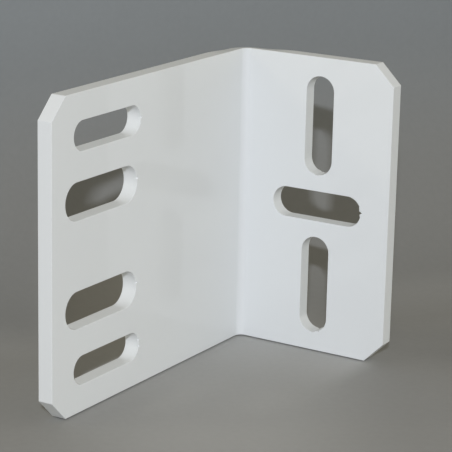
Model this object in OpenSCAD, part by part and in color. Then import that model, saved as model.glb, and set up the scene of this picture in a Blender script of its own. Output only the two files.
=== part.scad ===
// Fixing angle bracket: one plate folded square, with slots in both legs.
// Millimetres, +Z up along the fold, origin at the middle of the footprint on the floor.

/* [Plate] */
// Height along the fold
height = 118; // [112:0.5:150]
// Plate thickness
thickness = 6; // [4:0.5:8]
// Long leg, from the outside of the short leg to its free end
long_leg = 132.5; // [120:0.5:180]
// Short leg, from the outside of the long leg to its free end
short_leg = 71.5; // [68:0.5:110]

/* [Fold and edges] */
// Radius on the inside of the fold
fold_radius = 3; // [1:0.5:8]
// How far the stretched outer side draws in at each end of the fold
fold_draw = 0.8; // [0.5:0.1:1.2]
// Length along each leg over which the draw fades out
fold_draw_run = 13; // [8:0.5:18]
// Corner cut at the free end of each leg, measured along each edge
corner_cut = 8; // [2:0.5:10]
// Break on every edge of the plate and on the slot rims
edge_break = 0.4; // [0.2:0.1:0.8]

/* [Long leg: outer slots] */
// Width across the flats
outer_slot_width = 11; // [7:0.5:13]
// Length, end to end
outer_slot_length = 41; // [20:0.5:52]
// Distance between the two slots
outer_slot_pitch = 86.5; // [82:0.5:92]
// Distance of the slot centres from the free end
outer_slot_inset = 33.5; // [32:0.5:60]

/* [Long leg: inner slots] */
// Width across the flats
inner_slot_width = 14; // [9:0.5:16]
// Length, end to end
inner_slot_length = 44; // [20:0.5:50]
// Distance between the two slots
inner_slot_pitch = 40; // [34:0.5:44]
// Distance of the slot centres from the free end
inner_slot_inset = 30; // [28:0.5:60]

/* [Short leg: cross of slots] */
// Width across the flats
cross_slot_width = 12; // [7:0.5:14]
// Length, end to end
cross_slot_length = 39; // [20:0.5:42]
// Distance between the two upright slots
cross_slot_pitch = 64; // [62:0.5:66]
// Distance of the slot centres from the free end
cross_slot_inset = 31.5; // [28:0.5:36]

/* [Hidden] */
$fn = 96;
// How far a cutter reaches past the face it opens
over = 1;
// Straight lengths measured from the inside corner of the fold
long_reach = long_leg - thickness;
short_reach = short_leg - thickness;
middle = height / 2;
// The corner cuts and the drawn edges are broken a little finer than the other edges
corner_break = 0.75 * edge_break;
cut_side = corner_cut * sqrt(2);
// Slope of the fold's ends across the plate, and angle of the drawn edge along a leg
draw_slope = fold_draw / (thickness - edge_break);
draw_angle = atan(fold_draw / fold_draw_run);
// How far the fold's sloped section runs on before the draw starts to fade
draw_lead = edge_break / 2 * fold_draw_run / fold_draw;
coat_white = [0.90, 0.91, 0.90];

// Section across the plate, inner face at x = 0, with its edges broken and its ends sloped to the outside
module plate_section(slope) {
    at_break = slope * (thickness - 2 * edge_break);
    at_face = slope * (thickness - edge_break) + edge_break;
    polygon([
        [edge_break, 0],
        [thickness - edge_break, at_break],
        [thickness, at_face],
        [thickness, height - at_face],
        [thickness - edge_break, height - at_break],
        [edge_break, height],
        [0, height - edge_break],
        [0, edge_break]
    ]);
}

// Half outline of a slot through the plate: parallel walls, flared at both faces
module slot_wall(width) {
    polygon([
        [0, -over],
        [width / 2 + edge_break + over, -over],
        [width / 2, edge_break],
        [width / 2, thickness - edge_break],
        [width / 2 + edge_break + over, thickness + over],
        [0, thickness + over]
    ]);
}

// Slot along X through a plate that stands on y = 0 to y = thickness
module slot(width, length) {
    straight = length - width;
    for (end = [-1, 1]) {
        translate([end * straight / 2, 0, 0])
            rotate([-90, -90 * end, 0])
                rotate_extrude(angle = 180)
                    slot_wall(width);
    }
    rotate([0, 90, 0])
        linear_extrude(straight, center = true) {
            slot_wall(width);
            mirror([1, 0])
                slot_wall(width);
        }
}

// Bar along X that breaks the edge between two faces that look along +Y and +Z
module edge_bar(run, depth) {
    wide = 4 * depth;
    rotate([-45, 0, 0])
        translate([-run / 2, -wide / 2, -depth / sqrt(2)])
            cube([run, wide, wide]);
}

// What the free end of a leg loses: two corners, and the sharp edges round them
module end_cuts(reach) {
    for (side = [0, 1]) {
        translate([0, 0, middle])
            mirror([0, 0, side])
                translate([reach, thickness / 2, middle])
                    rotate([0, 45, 0])
                        cube([cut_side, thickness + 2 * over, cut_side], center = true);
    }
    for (face = [0, 1]) {
        translate([reach, thickness / 2, middle])
            mirror([0, face, 0])
                translate([0, thickness / 2, 0]) {
                    rotate([0, 90, 0])
                        edge_bar(height, edge_break);
                    for (side = [0, 1]) {
                        mirror([0, 0, side])
                            translate([-corner_cut / 2, 0, middle - corner_cut / 2])
                                rotate([0, 45, 0])
                                    edge_bar(2 * cut_side, corner_break);
                    }
                }
    }
}

// What a leg loses beside the fold, above and below: a slope along the drawn edge, and the break of that edge
module draw_cuts() {
    start = draw_lead + 2 * over;
    lean = cos(draw_angle);
    top = 2 * fold_draw + over;
    for (side = [0, 1]) {
        translate([fold_radius + draw_lead, 0, middle])
            mirror([0, 0, side])
                translate([0, 0, middle - fold_draw])
                    rotate([90, 0, 90])
                        rotate([-draw_angle, 0, 0])
                            translate([0, 0, -start])
                                linear_extrude(start + fold_draw_run / lean + over)
                                    polygon([
                                        [-over, lean * draw_slope * (thickness + over)],
                                        [thickness - corner_break, lean * draw_slope * corner_break],
                                        [thickness + over, -lean * (corner_break + over * (1 + draw_slope))],
                                        [thickness + over, top],
                                        [-over, top]
                                    ]);
    }
}

// Bar of the plate's section along X, starting where the fold ends
module plate_bar(run, slope) {
    translate([fold_radius, 0, 0])
        rotate([90, 0, 90])
            linear_extrude(run)
                plate_section(slope);
}

// Straight part of a leg along X from the fold, inner face at y = 0; children are its slots
module leg(reach) {
    difference() {
        union() {
            plate_bar(2 * draw_lead, draw_slope);
            difference() {
                plate_bar(reach - fold_radius, 0);
                draw_cuts();
            }
        }
        end_cuts(reach);
        children();
    }
}

// Quarter turn of the same section about the centre of the fold
module fold() {
    translate([fold_radius, -fold_radius, 0])
        rotate([0, 0, 90])
            rotate_extrude(angle = 90)
                translate([fold_radius, 0])
                    plate_section(draw_slope);
}

// Slots of the long leg: a longer, wider pair between two narrower ones
module long_leg_slots() {
    for (side = [-1, 1]) {
        translate([long_reach - outer_slot_inset, 0, middle + side * outer_slot_pitch / 2])
            slot(outer_slot_width, outer_slot_length);
        translate([long_reach - inner_slot_inset, 0, middle + side * inner_slot_pitch / 2])
            slot(inner_slot_width, inner_slot_length);
    }
}

// Slots of the short leg: one level slot between two upright ones
module short_leg_slots() {
    translate([short_reach - cross_slot_inset, 0, middle]) {
        slot(cross_slot_width, cross_slot_length);
        for (side = [-1, 1]) {
            translate([0, 0, side * cross_slot_pitch / 2])
                rotate([0, 90, 0])
                    slot(cross_slot_width, cross_slot_length);
        }
    }
}

// The folded plate, short leg along +X and long leg along -Y
module angle_bracket() {
    color(coat_white)
        translate([thickness - short_leg / 2, long_leg / 2 - thickness, 0]) {
            fold();
            leg(short_reach)
                short_leg_slots();
            mirror([1, 1, 0])
                leg(long_reach)
                    long_leg_slots();
        }
}

angle_bracket();
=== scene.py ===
from math import cos, pi, radians, sin

import bpy
from mathutils import Euler, Matrix, Vector


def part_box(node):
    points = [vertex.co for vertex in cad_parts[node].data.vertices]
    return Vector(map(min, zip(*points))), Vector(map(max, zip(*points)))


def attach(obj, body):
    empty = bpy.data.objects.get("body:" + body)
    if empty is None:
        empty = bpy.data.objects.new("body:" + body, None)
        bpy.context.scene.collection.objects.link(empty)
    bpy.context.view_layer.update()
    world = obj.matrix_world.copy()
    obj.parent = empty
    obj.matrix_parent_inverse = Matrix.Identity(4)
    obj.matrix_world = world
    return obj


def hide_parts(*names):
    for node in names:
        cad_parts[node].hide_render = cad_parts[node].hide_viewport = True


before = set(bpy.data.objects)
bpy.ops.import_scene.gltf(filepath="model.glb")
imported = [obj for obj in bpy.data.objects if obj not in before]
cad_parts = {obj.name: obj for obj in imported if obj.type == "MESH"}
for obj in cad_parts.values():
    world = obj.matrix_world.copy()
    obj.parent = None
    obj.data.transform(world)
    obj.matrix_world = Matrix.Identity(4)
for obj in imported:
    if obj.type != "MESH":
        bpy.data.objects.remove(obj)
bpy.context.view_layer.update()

low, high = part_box("angle_bracket")
print("frame loaded, box", [round(v, 4) for v in low], [round(v, 4) for v in high])


# selection helpers

hair = 2e-6        # places closer than this count as the same


def clearSelection():
    if bpy.context.object and bpy.context.object.mode != "OBJECT":
        bpy.ops.object.mode_set(mode="OBJECT")
    bpy.ops.object.select_all(action="DESELECT")


def workOn(piece):
    clearSelection()
    bpy.context.view_layer.objects.active = piece
    piece.select_set(True)


def pick(piece, kind, test):
    # selects vertices, edges or faces of the piece by the place of their middle, and stays in edit mode
    workOn(piece)
    bpy.ops.object.mode_set(mode="EDIT")
    bpy.ops.mesh.select_mode(type=kind)
    bpy.ops.mesh.select_all(action="DESELECT")
    bpy.ops.object.mode_set(mode="OBJECT")
    mesh = piece.data
    found = 0
    if kind == "VERT":
        for v in mesh.vertices:
            v.select = test(v.co)
            found += v.select
    elif kind == "EDGE":
        for e in mesh.edges:
            a, b = mesh.vertices[e.vertices[0]].co, mesh.vertices[e.vertices[1]].co
            e.select = test((a + b) / 2, (b - a).normalized())
            found += e.select
    else:
        for f in mesh.polygons:
            f.select = test(f.center, f.normal)
            found += f.select
    bpy.ops.object.mode_set(mode="EDIT")
    return found


def runsAlong(way, axis):
    return abs(getattr(way, axis)) > 0.99


def applyModifier(piece, kind, **settings):
    workOn(piece)
    mod = piece.modifiers.new(kind.lower(), kind)
    for name, value in settings.items():
        setattr(mod, name, value)
    bpy.ops.object.modifier_apply(modifier=mod.name)


def settle(piece):
    # place, turn and scale go into the mesh
    workOn(piece)
    bpy.ops.object.transform_apply(location=True, rotation=True, scale=True)


def cleanMesh(piece, reach=1e-6):
    workOn(piece)
    bpy.ops.object.mode_set(mode="EDIT")
    bpy.ops.mesh.select_mode(type="VERT")
    bpy.ops.mesh.select_all(action="SELECT")
    bpy.ops.mesh.remove_doubles(threshold=reach)
    bpy.ops.mesh.normals_make_consistent(inside=False)
    bpy.ops.object.mode_set(mode="OBJECT")


def copyOf(piece, move):
    workOn(piece)
    bpy.ops.object.duplicate(linked=False)
    bpy.ops.transform.translate(value=move)
    settle(bpy.context.object)
    return bpy.context.object


def setTool(master, place, axes, size):
    # a copy of a cutting tool, at its size and place
    tool = copyOf(master, (0, 0, 0))
    tool.location = place
    tool.rotation_euler = axes.to_euler()
    tool.scale = size
    settle(tool)
    return tool


def carve(piece, tool, operation="DIFFERENCE"):
    applyModifier(piece, "BOOLEAN", operation=operation, solver="EXACT", object=tool)
    bpy.data.objects.remove(tool)


# the folded plate

plate = {
    "thick": 0.006,
    "foldRadius": 0.003,      # inside of the fold
    "foldSteps": 14,
    "cornerCut": 0.008,
    "edgeRound": 0.00042,     # what the coat makes of each edge
    "edgeSteps": 3,
    "edgeAngle": 40,          # edges that turn by more than this are rounded
    "smoothAngle": 35,        # and what turns by less than this is shaded smooth
    "drawIn": 0.0008,         # the stretched outer side pulls in at the fold's ends
    "drawRun": 0.017,         # how far along each leg that fades out
    "drawSteps": 8,
}

height = high.z - low.z
innerX = low.x + plate["thick"]          # inner face of the long leg
innerY = high.y - plate["thick"]         # inner face of the short leg
bendX = innerX + plate["foldRadius"]
bendY = innerY - plate["foldRadius"]


def sweepPlate():
    # a strip on the floor, run along the long leg, round the fold and along the short leg, then raised
    clearSelection()
    first = bendY - plate["drawRun"] - low.y
    bpy.ops.mesh.primitive_plane_add(size=1, location=(low.x + plate["thick"] / 2, low.y + first / 2, low.z))
    piece = bpy.context.object
    piece.name = "foldedPlate"
    piece.scale = (plate["thick"], first, 1)
    settle(piece)
    pick(piece, "EDGE", lambda mid, way: mid.y > low.y + first - hair)
    rows = [plate["drawRun"] / plate["drawSteps"]] * plate["drawSteps"]
    for step in rows:
        bpy.ops.mesh.extrude_region_move(TRANSFORM_OT_translate={"value": (0, step, 0)})
    bpy.ops.mesh.spin(steps=plate["foldSteps"], angle=pi / 2, center=(bendX, bendY, low.z), axis=(0, 0, 1))
    for step in rows + [high.x - bendX - plate["drawRun"]]:
        bpy.ops.mesh.extrude_region_move(TRANSFORM_OT_translate={"value": (step, 0, 0)})
    cleanMesh(piece)
    bpy.ops.object.mode_set(mode="EDIT")
    bpy.ops.mesh.select_all(action="SELECT")
    bpy.ops.mesh.extrude_region_move(TRANSFORM_OT_translate={"value": (0, 0, height)})
    cleanMesh(piece)
    print("plate swept:", len(piece.data.vertices), "vertices")
    return piece


def awayFromFold(co):
    # distance along either leg from where the fold ends, 0 inside the fold
    return max(0.0, bendY - co.y if co.x < bendX else 0.0, co.x - bendX if co.y > bendY else 0.0)


def isOuter(co):
    # outer side of the plate, seen from above
    half = plate["thick"] / 2
    if co.x < bendX and co.y > bendY:
        return Vector((co.x - bendX, co.y - bendY)).length > plate["foldRadius"] + half
    return co.x < innerX - half or co.y > innerY + half


def shapeFoldEnds(piece):
    # column by column, the outer edge draws in, at the top and at the foot
    middle = low.z + height / 2
    columns = sorted({round(awayFromFold(v.co), 6) for v in piece.data.vertices})
    for away in columns:
        if away >= plate["drawRun"]:
            continue
        draw = plate["drawIn"] * (1 + cos(pi * away / plate["drawRun"])) / 2
        for atTop, move in ((True, -draw), (False, draw)):
            def belongs(co):
                inColumn = abs(awayFromFold(co) - away) < hair
                return inColumn and isOuter(co) and (co.z > middle) == atTop
            if pick(piece, "VERT", belongs):
                bpy.ops.transform.translate(value=(0, 0, move))
    bpy.ops.object.mode_set(mode="OBJECT")
    print("fold ends shaped in", len(columns), "columns")


def cutCorners(piece):
    # the four corners at the free ends of the legs
    def corner(mid, way):
        longEnd = mid.y < low.y + hair and runsAlong(way, "x")
        shortEnd = mid.x > high.x - hair and runsAlong(way, "y")
        return (longEnd or shortEnd) and (mid.z < low.z + hair or mid.z > high.z - hair)
    print("corners cut:", pick(piece, "EDGE", corner))
    bpy.ops.mesh.bevel(offset_type="OFFSET", offset=plate["cornerCut"], segments=1, affect="EDGES")
    bpy.ops.object.mode_set(mode="OBJECT")


def roundEdges(piece):
    applyModifier(
        piece, "BEVEL", width=plate["edgeRound"], segments=plate["edgeSteps"], limit_method="ANGLE",
        angle_limit=radians(plate["edgeAngle"]), miter_outer="MITER_ARC", harden_normals=False,
        use_clamp_overlap=True)
    cleanMesh(piece, reach=2e-6)
    print("edges rounded:", len(piece.data.polygons), "faces")


def smoothPlate(piece):
    cleanMesh(piece)
    workOn(piece)
    bpy.ops.object.shade_smooth_by_angle(angle=radians(plate["smoothAngle"]))
    # the large faces lead, so that they stay flat
    applyModifier(piece, "WEIGHTED_NORMAL", mode="FACE_AREA", weight=100, keep_sharp=True)
    print("plate smoothed:", len(piece.data.polygons), "faces")


# the slots

slots = {
    # width, length, distance of the centre from the leg's free end, heights above the middle
    "longOuter": {
        "leg": "long", "width": 0.011, "length": 0.041, "inset": 0.0335, "rises": (-0.04325, 0.04325)},
    "longInner": {
        "leg": "long", "width": 0.014, "length": 0.044, "inset": 0.030, "rises": (-0.020, 0.020)},
    "shortUpright": {
        "leg": "short", "width": 0.012, "length": 0.039, "inset": 0.0315, "rises": (-0.032, 0.032),
        "upright": True},
    "shortLevel": {
        "leg": "short", "width": 0.012, "length": 0.039, "inset": 0.0315, "rises": (0,)},
}
slotSteps = 18                # in each quarter of a slot's round ends


def onLeg(leg, fromEnd, rise, depth):
    # a place so far from the leg's free end, so high above the foot and so deep below the outer face
    if leg == "long":
        return Vector((low.x + depth, low.y + fromEnd, low.z + rise))
    return Vector((high.x - fromEnd, high.y - depth, low.z + rise))


def slotPlace(kind, rise):
    spec = slots[kind]
    return onLeg(spec["leg"], spec["inset"], height / 2 + rise, plate["thick"] / 2)


def slotCutter(kind):
    # a block as long and as wide as the slot, with its four through edges rounded into half circles
    spec = slots[kind]
    onLong = spec["leg"] == "long"
    through = 2.5 * plate["thick"]
    level, tall = spec["length"], spec["width"]
    if spec.get("upright"):
        level, tall = tall, level
    clearSelection()
    bpy.ops.mesh.primitive_cube_add(size=1, location=slotPlace(kind, spec["rises"][0]))
    cutter = bpy.context.object
    cutter.scale = (through, level, tall) if onLong else (level, through, tall)
    settle(cutter)
    pick(cutter, "EDGE", lambda mid, way: runsAlong(way, "x" if onLong else "y"))
    endRound = 0.9999 * spec["width"] / 2        # just short of half, so that the rounds don't run together
    bpy.ops.mesh.bevel(
        offset_type="OFFSET", offset=endRound, segments=slotSteps, affect="EDGES", clamp_overlap=True)
    cleanMesh(cutter, reach=5e-6)
    return cutter


def cutSlots(piece):
    for kind, spec in slots.items():
        cutter = slotCutter(kind)
        for rise in spec["rises"][1:]:
            carve(piece, copyOf(cutter, (0, 0, rise - spec["rises"][0])))
        carve(piece, cutter)
    print("slots cut:", len(piece.data.polygons), "faces")


# what the cutting left: a ragged seam where a cut began and ended

lowerRise, upperRise = slots["shortUpright"]["rises"]

seams = {
    "root": 0.0008,           # how far a ridge reaches back into the slot wall
    "edge": 0.00012,
    "sideGap": 0.00005,       # a ridge stays this far inside the plate's faces
    # ridge: angle round the slot's end, width, height
    # notches: angle round the slot's end, half width, depth
    "cuts": (
        {"slot": "shortLevel", "rise": 0, "ridge": (6.2, 0.0040, 0.00052),
         "notches": ((2.9, 0.00068, 0.00118),), "throughRidge": True},
        {"slot": "shortUpright", "rise": upperRise, "ridge": (-21, 0.0016, 0.00016),
         "notches": ((0, 0.0005, 0.00025),)},
        {"slot": "shortUpright", "rise": lowerRise, "ridge": (18, 0.0013, 0.00034),
         "notches": ((0, 0.0008, 0.00030), (29, 0.0005, 0.00030))},
    ),
}


def slotEnd(kind, rise, angle):
    # a place on the round end of a short leg slot, and axes through the plate, along the wall and outwards
    spec = slots[kind]
    out, side = Vector((1, 0, 0)), Vector((0, 0, 1))
    if spec.get("upright"):
        out, side = -side, out
    radius = spec["width"] / 2
    centre = slotPlace(kind, rise) + out * (spec["length"] / 2 - radius)
    outward = out * cos(radians(angle)) + side * sin(radians(angle))
    along = side * cos(radians(angle)) - out * sin(radians(angle))
    return centre + outward * radius, Matrix((along.cross(outward), along, outward)).transposed()


def leaveSeams(piece):
    clearSelection()
    bpy.ops.mesh.primitive_cube_add(size=1, location=(0, 0, 0))
    block = bpy.context.object
    clearSelection()
    bpy.ops.mesh.primitive_cube_add(size=2 ** 0.5, location=(0, 0, 0), rotation=(radians(45), 0, 0))
    wedge = bpy.context.object
    settle(wedge)
    for spec in seams["cuts"]:
        angle, wide, proud = spec["ridge"]
        wall, axes = slotEnd(spec["slot"], spec["rise"], angle)
        inward = -axes.col[2]
        deep = seams["root"] + proud
        size = (plate["thick"] - 2 * seams["sideGap"], wide, deep)
        ridge = setTool(block, wall + inward * (proud - deep / 2), axes, size)
        pick(ridge, "EDGE", lambda mid, way: (mid - wall).dot(inward) > 0)
        bpy.ops.mesh.bevel(offset_type="OFFSET", offset=seams["edge"], segments=2, affect="EDGES")
        cleanMesh(ridge)
        carve(piece, ridge, "UNION")
        start = proud if spec.get("throughRidge") else 0
        for angle, half, bite in spec["notches"]:
            wall, axes = slotEnd(spec["slot"], spec["rise"], angle)
            carve(piece, setTool(wedge, wall - axes.col[2] * start, axes, (plate["thick"], half, bite)))
    bpy.data.objects.remove(block)
    bpy.data.objects.remove(wedge)
    print("seams left:", len(piece.data.polygons), "faces")


# what the handling left: chipped rims

chips = {
    # on the inner face of a leg: distance from its free end, height above the foot, size of the bite
    "long": (
        (0.05410, 0.10260, 0.00055),     # right ends of the slots, from the top
        (0.05195, 0.08020, 0.00060),
        (0.05205, 0.04040, 0.00060),
        (0.05375, 0.01735, 0.00060),
        (0.05397, 0.01490, 0.00055),
        (0.01248, 0.03241, 0.00030),     # and their lower left
        (0.01616, 0.01070, 0.00030),
    ),
    "short": (
        (0, 0.11000, 0.00042),           # where the upper corner cut meets the end
        (0.02415, 0.05300, 0.00030),     # lower rim of the level slot
        (0.02755, 0.05300, 0.00022),
        (0.03685, 0.05300, 0.00022),
    ),
}


def chipRims(piece):
    clearSelection()
    bpy.ops.mesh.primitive_ico_sphere_add(subdivisions=2, radius=1, location=(0, 0, 0))
    ball = bpy.context.object
    for leg, bites in chips.items():
        for fromEnd, rise, size in bites:
            place = onLeg(leg, fromEnd, rise, plate["thick"])
            carve(piece, setTool(ball, place, Matrix.Identity(3), (size, size, size)))
        print("rims chipped on the", leg, "leg:", len(bites))
    bpy.data.objects.remove(ball)


# shader sums written as Python

class Wire:
    def __init__(self, tree, out=None):
        self.tree = tree
        self.out = out

    def node(self, kind, out=0, settings=None, sockets=None):
        made = self.tree.nodes.new(kind)
        for name, value in (settings or {}).items():
            setattr(made, name, value)
        for name, value in (sockets or {}).items():
            if isinstance(value, Wire):
                self.tree.links.new(value.out, made.inputs[name])
            else:
                made.inputs[name].default_value = value
        return Wire(self.tree, made.outputs[out] if len(made.outputs) else None)

    def maths(self, operation, first, second):
        return self.node("ShaderNodeMath", settings={"operation": operation}, sockets={0: first, 1: second})

    def __add__(self, other):
        return self.maths("ADD", self, other)

    def __sub__(self, other):
        return self.maths("SUBTRACT", self, other)

    def __mul__(self, other):
        return self.maths("MULTIPLY", self, other)

    def __rsub__(self, other):
        return self.maths("SUBTRACT", other, self)

    __radd__ = __add__
    __rmul__ = __mul__


def newMaterial(name):
    material = bpy.data.materials.new(name)
    material.use_nodes = True
    tree = material.node_tree
    tree.nodes.clear()
    return material, Wire(tree)


def noise(place, scale, detail, roughness=0.5):
    return place.node(
        "ShaderNodeTexNoise",
        sockets={"Vector": place, "Scale": scale, "Detail": detail, "Roughness": roughness})


def ramp(place, way, limits, kind="SMOOTHSTEP"):
    # 0 to 1 along a direction, between two distances
    reach = place.node(
        "ShaderNodeVectorMath", out="Value", settings={"operation": "DOT_PRODUCT"},
        sockets={0: place, 1: way})
    return place.node(
        "ShaderNodeMapRange", settings={"clamp": True, "interpolation_type": kind},
        sockets={"Value": reach, "From Min": limits[0], "From Max": limits[1]})


def blend(factor, first, second, kind="MIX"):
    return factor.node(
        "ShaderNodeMix", out=2, settings={"data_type": "RGBA", "blend_type": kind},
        sockets={0: factor, 6: first, 7: second})


coat = {
    "white": (0.850, 0.866, 0.862, 1),
    "shade": (0.822, 0.838, 0.834, 1),
    "broadScale": 26,        # broad and fine clouds in the white
    "fineScale": 240,
    "broadShare": 0.7,
    "roughness": 0.50,
    "roughnessSpread": 0.12,
    "shine": 0.05,           # of the rough ground
    "sheen": 0.55,           # share of the surface that mirrors sharply
    "sheenRoughness": 0.025,
    "peelScale": 700,        # fine orange peel of the coat, about 1.4 mm from crest to crest
    "peelDepth": 0.000004,
}


def whiteCoat():
    material, wire = newMaterial("whiteCoat")
    place = wire.node("ShaderNodeTexCoord", out="Object")
    broad = noise(place, coat["broadScale"], 3)
    fine = noise(place, coat["fineScale"], 2, 0.6)
    peel = noise(place, coat["peelScale"], 1)
    cloud = broad * coat["broadShare"] + fine * (1 - coat["broadShare"])
    colour = blend(cloud, coat["shade"], coat["white"])
    roughness = fine * coat["roughnessSpread"] + (coat["roughness"] - coat["roughnessSpread"] / 2)
    bump = wire.node("ShaderNodeBump", sockets={"Height": peel, "Distance": coat["peelDepth"], "Strength": 1})
    shader = wire.node(
        "ShaderNodeBsdfPrincipled",
        sockets={
            "Base Color": colour, "Roughness": roughness, "Normal": bump, "IOR": 1.5,
            "Specular IOR Level": coat["shine"], "Coat Weight": coat["sheen"],
            "Coat Roughness": coat["sheenRoughness"], "Coat IOR": 1.5})
    wire.node("ShaderNodeOutputMaterial", sockets={"Surface": shader})
    return material


# the camera

photoCamera = {
    "place": (0.367795, -0.597852, 0.256233),
    "azimuth": 31.593,
    "elevation": 15.339,
    "roll": 1.25,
    "lens": 158.34,
    "sensor": 36,
}


def putUp(name, data, place):
    # a camera or a lamp, put up in the room
    holder = bpy.data.objects.new(name, data)
    bpy.context.scene.collection.objects.link(holder)
    holder.matrix_world = place
    return holder


def floorAxes(degrees):
    # to the right and straight on along the floor, for a camera or a sheet turned by so much
    turn = radians(degrees)
    return Vector((cos(turn), sin(turn), 0)), Vector((-sin(turn), cos(turn), 0))


def addCamera():
    view = bpy.data.cameras.new("photoCamera")
    view.lens = photoCamera["lens"]
    view.sensor_width = photoCamera["sensor"]
    view.clip_start = 0.02
    look = Euler((pi / 2 - radians(photoCamera["elevation"]), 0, radians(photoCamera["azimuth"])))
    roll = Matrix.Rotation(radians(photoCamera["roll"]), 4, "Z")
    place = Matrix.Translation(photoCamera["place"]) @ look.to_matrix().to_4x4() @ roll
    camera = putUp("photoCamera", view, place)
    bpy.context.scene.camera = camera
    return camera


# the paper sheet

paper = {
    "floorSize": 8,
    "drop": 0.0005,                       # the sheet lies this much below the foot
    "turn": 54.6,                         # it bends up along its own line, not square to the view
    "bendStart": 0.058,                   # distance behind the middle of the bracket
    "bendRadius": 0.0975,
    "bendSteps": 24,
    "strip": 0.002,                       # what the bend is spun from
    "wallHeight": 1.2,
    "wallWidth": 5,
}

# the sheet's own tone, with painted bounce light in front of the bracket, painted shade behind it and painted
# light higher up
paperToneAndPaintedLight = {
    "near": (0.420, 0.417, 0.400, 1),     # painted bounce light: paler inside the angle, where both legs throw light on it
    "side": (0.330, 0.327, 0.312, 1),
    "sideRange": (0.010, 0.072),
    "corner": (0.475, 0.472, 0.453, 1),   # painted bounce light: palest before the short leg, which throws light on it
    "cornerRange": (0.010, 0.058),
    "cornerRise": 0.008,                  # from the long leg's inner face
    "cornerFade": 0.012,                  # towards the short leg's end
    "far": (0.257, 0.257, 0.245, 1),      # painted shade: darker behind the short leg and where the sheet bends up
    "backRange": (0.060, 0.115),
    "bendRange": (0.010, 0.040),
    # painted light: lighter and cooler higher up the bent-up sheet
    "high": (0.270, 0.286, 0.292, 1),
    "highRange": (0.035, 0.125),
    "leftRange": (0.058, 0.084),          # painted shade: far left the darker part starts nearer, far right later
    "leftBack": (0.036, 0.066),
    "rightRange": (0.060, 0.076),
    "rightBack": (0.045, 0.062),
    "rightDown": (-0.008, -0.001),        # only low on the sheet
    "rightShare": 0.6,
    "fleck": (0.62, 0.62, 0.61, 1),
    "grainScale": 420,
    "grainShare": 0.2,
    "blotchScale": 22,
    "blotchShare": 0.14,
    "roughness": 0.85,
}


def paintedBounceInFront(place, right):
    # painted bounce light in front of the bracket, palest with the place inside the angle
    aside = place.maths(
        "MAXIMUM", ramp(place, right, paperToneAndPaintedLight["sideRange"]), ramp(place, -right, paperToneAndPaintedLight["sideRange"]))
    inside = ramp(place, (0, 1, 0), paperToneAndPaintedLight["cornerRange"]) * ramp(place, (0, -1, 0), (-high.y, -innerY))
    inside = inside * ramp(place, (1, 0, 0), (low.x, innerX + paperToneAndPaintedLight["cornerRise"]))
    inside = inside * ramp(place, (-1, 0, 0), (-high.x, -high.x + paperToneAndPaintedLight["cornerFade"]))
    return blend(inside, blend(aside, paperToneAndPaintedLight["near"], paperToneAndPaintedLight["side"]), paperToneAndPaintedLight["corner"])


def paintedShadeBehind(place, right, onward):
    # share of the painted shade: behind the bracket and up the bend, sooner on the left and later on the
    # right
    back = ramp(place, (0, 1, 0), paperToneAndPaintedLight["backRange"])
    back = place.maths("MAXIMUM", back, ramp(place, (0, 0, 1), paperToneAndPaintedLight["bendRange"]))
    # painted shadow far left; below, less painted shade low on the right
    left = ramp(place, -right, paperToneAndPaintedLight["leftRange"]) * ramp(place, onward, paperToneAndPaintedLight["leftBack"])
    pale = ramp(place, right, paperToneAndPaintedLight["rightRange"]) * ramp(place, onward, paperToneAndPaintedLight["rightBack"])
    pale = pale * ramp(place, (0, 0, -1), paperToneAndPaintedLight["rightDown"])
    return place.maths("MAXIMUM", back, left) * (1 - pale * paperToneAndPaintedLight["rightShare"])


def greyPaper():
    material, wire = newMaterial("greyPaper")
    place = wire.node("ShaderNodeTexCoord", out="Object")
    right, onward = floorAxes(photoCamera["azimuth"])
    # the sheet's own tone with painted light: lighter and cooler higher up, painted shade behind the bracket,
    # painted bounce light in front
    behind = blend(ramp(place, (0, 0, 1), paperToneAndPaintedLight["highRange"]), paperToneAndPaintedLight["far"], paperToneAndPaintedLight["high"])
    toneWithPaintedLight = blend(paintedShadeBehind(place, right, onward), paintedBounceInFront(place, right), behind)
    grain = noise(place, paperToneAndPaintedLight["grainScale"], 4)
    blotch = noise(place, paperToneAndPaintedLight["blotchScale"], 3)
    flecks = grain * paperToneAndPaintedLight["grainShare"] + blotch * paperToneAndPaintedLight["blotchShare"]
    mottled = blend(flecks, toneWithPaintedLight, paperToneAndPaintedLight["fleck"], "MULTIPLY")
    sheet = wire.node(
        "ShaderNodeBsdfPrincipled", sockets={"Base Color": mottled, "Roughness": paperToneAndPaintedLight["roughness"]})
    fromBack = wire.node("ShaderNodeNewGeometry", out="Backfacing")
    clear = wire.node("ShaderNodeBsdfTransparent")          # the sheet is seen through from the back
    shader = wire.node("ShaderNodeMixShader", sockets={0: fromBack, 1: sheet, 2: clear})
    wire.node("ShaderNodeOutputMaterial", sockets={"Surface": shader})
    return material


def layFloor(material):
    clearSelection()
    bpy.ops.mesh.primitive_plane_add(size=paper["floorSize"], location=(0, 0, low.z - paper["drop"]))
    floor = bpy.context.object
    floor.name = "paperFloor"
    settle(floor)
    floor.data.materials.append(material)
    print("paper laid")


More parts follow.
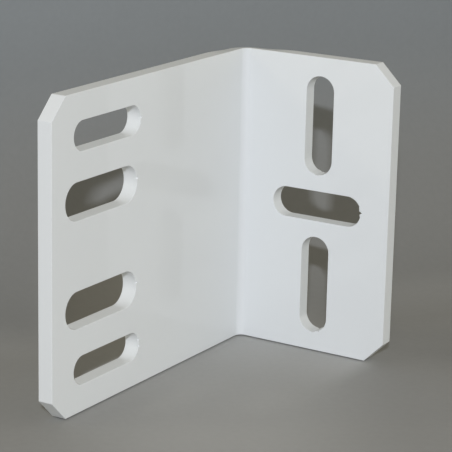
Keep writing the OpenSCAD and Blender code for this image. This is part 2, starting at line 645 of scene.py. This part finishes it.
def bendWall(material):
    # the sheet bends up behind the bracket: one edge of a strip, spun a quarter turn, then pulled up
    across, away = floorAxes(paper["turn"])
    bendLine = Vector((0, 0, low.z - paper["drop"])) + away * paper["bendStart"]
    clearSelection()
    bpy.ops.mesh.primitive_plane_add(
        size=1, location=bendLine - away * (paper["strip"] / 2), rotation=(0, 0, radians(paper["turn"])))
    wall = bpy.context.object
    wall.name = "paperWall"
    wall.scale = (paper["wallWidth"], paper["strip"], 1)
    settle(wall)
    pick(wall, "EDGE", lambda mid, way: mid.dot(away) > paper["bendStart"] - paper["strip"] / 4)
    centre = bendLine + Vector((0, 0, paper["bendRadius"]))
    bpy.ops.mesh.spin(steps=paper["bendSteps"], angle=pi / 2, center=centre, axis=-across)
    bpy.ops.mesh.extrude_region_move(TRANSFORM_OT_translate={"value": (0, 0, paper["wallHeight"])})
    pick(wall, "FACE", lambda mid, way: mid.dot(away) < paper["bendStart"])      # the strip itself goes
    bpy.ops.mesh.delete(type="FACE")
    cleanMesh(wall)
    if wall.data.polygons[-1].normal.dot(away) > 0:
        pick(wall, "FACE", lambda mid, way: True)
        bpy.ops.mesh.flip_normals()
        bpy.ops.object.mode_set(mode="OBJECT")
    workOn(wall)
    bpy.ops.object.shade_smooth()
    wall.data.materials.append(material)
    wall.visible_diffuse = False       # it shows shadows and reflections, and keeps no light from the bracket
    wall.visible_shadow = False
    print("paper bent up")


# the lamps and the room

keyLamp = {
    "power": 7.74,
    "wide": 0.050,
    "tall": 0.021,
    "across": -0.0164,
    "rise": 0.1747,                     # above the line from the bracket through the lens
    "back": 0.442,                      # behind the lens
    "tint": (0.856, 0.898, 1.0),
}


def addKeyLamp(camera):
    light = bpy.data.lights.new("keyLamp", "AREA")
    light.shape = "RECTANGLE"
    light.size = keyLamp["wide"]
    light.size_y = keyLamp["tall"]
    light.energy = keyLamp["power"]
    light.color = keyLamp["tint"]
    offset = Vector((keyLamp["across"], keyLamp["rise"], keyLamp["back"]))
    place = camera.matrix_world.translation + camera.matrix_world.to_3x3() @ offset
    aim = Vector((0, 0, low.z + height / 2)) - place
    putUp("keyLamp", light, Matrix.Translation(place) @ aim.to_track_quat("-Z", "Y").to_matrix().to_4x4())
    print("key lamp set")


roomLamp = {
    "strength": 0.156,
    "softness": 8,
    "tint": (1.0, 0.96, 0.82),
    "comesFrom": (-0.66, -0.50, 0.48),
}


def addRoomLamp():
    light = bpy.data.lights.new("roomLamp", "SUN")
    light.energy = roomLamp["strength"]
    light.angle = radians(roomLamp["softness"])
    light.color = roomLamp["tint"]
    putUp("roomLamp", light, Vector(roomLamp["comesFrom"]).to_track_quat("Z", "Y").to_matrix().to_4x4())
    print("room lamp set")


room = {
    "front": (0.470, 0.500, 0.510, 1),
    "back": (0.295, 0.315, 0.295, 1),
    "frontRange": (-0.5, 0.7),
    "right": (0.705, 0.665, 0.552, 1),          # warm light from the sides comes on top
    "left": (0.335, 0.290, 0.190, 1),
    "sideRange": (0.2, 0.9),
    "behind": (0.230, 0.230, 0.225, 1),         # and so does what the outer sides get from behind
    "behindRange": (0.45, 0.9),
    "above": (0.236, 0.204, 0.150, 1),
    "aboveRange": (0.1, 0.9),
}


def lightRoom():
    world = bpy.data.worlds.new("room")
    bpy.context.scene.world = world
    world.use_nodes = True
    world.node_tree.nodes.clear()
    wire = Wire(world.node_tree)
    way = wire.node("ShaderNodeTexCoord", out="Generated")
    right, onward = floorAxes(photoCamera["azimuth"])
    glow = blend(ramp(way, -onward, room["frontRange"], "LINEAR"), room["back"], room["front"])
    glow = blend(ramp(way, right, room["sideRange"], "LINEAR"), glow, room["right"], "ADD")
    glow = blend(ramp(way, -right, room["sideRange"], "LINEAR"), glow, room["left"], "ADD")
    glow = blend(ramp(way, onward, room["behindRange"], "LINEAR"), glow, room["behind"], "ADD")
    glow = blend(ramp(way, (0, 0, 1), room["aboveRange"], "LINEAR"), glow, room["above"])
    background = wire.node("ShaderNodeBackground", sockets={"Color": glow, "Strength": 1})
    wire.node("ShaderNodeOutputWorld", sockets={"Surface": background})
    print("room lit")


foldedPlate = sweepPlate()
shapeFoldEnds(foldedPlate)
cutCorners(foldedPlate)
cutSlots(foldedPlate)
roundEdges(foldedPlate)
leaveSeams(foldedPlate)
chipRims(foldedPlate)
smoothPlate(foldedPlate)
foldedPlate.data.materials.clear()
foldedPlate.data.materials.append(whiteCoat())
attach(foldedPlate, "root")
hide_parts("angle_bracket")

camera = addCamera()
sheet = greyPaper()
layFloor(sheet)
bendWall(sheet)
addKeyLamp(camera)
addRoomLamp()
lightRoom()
bpy.context.scene.view_settings.view_transform = "Standard"
clearSelection()
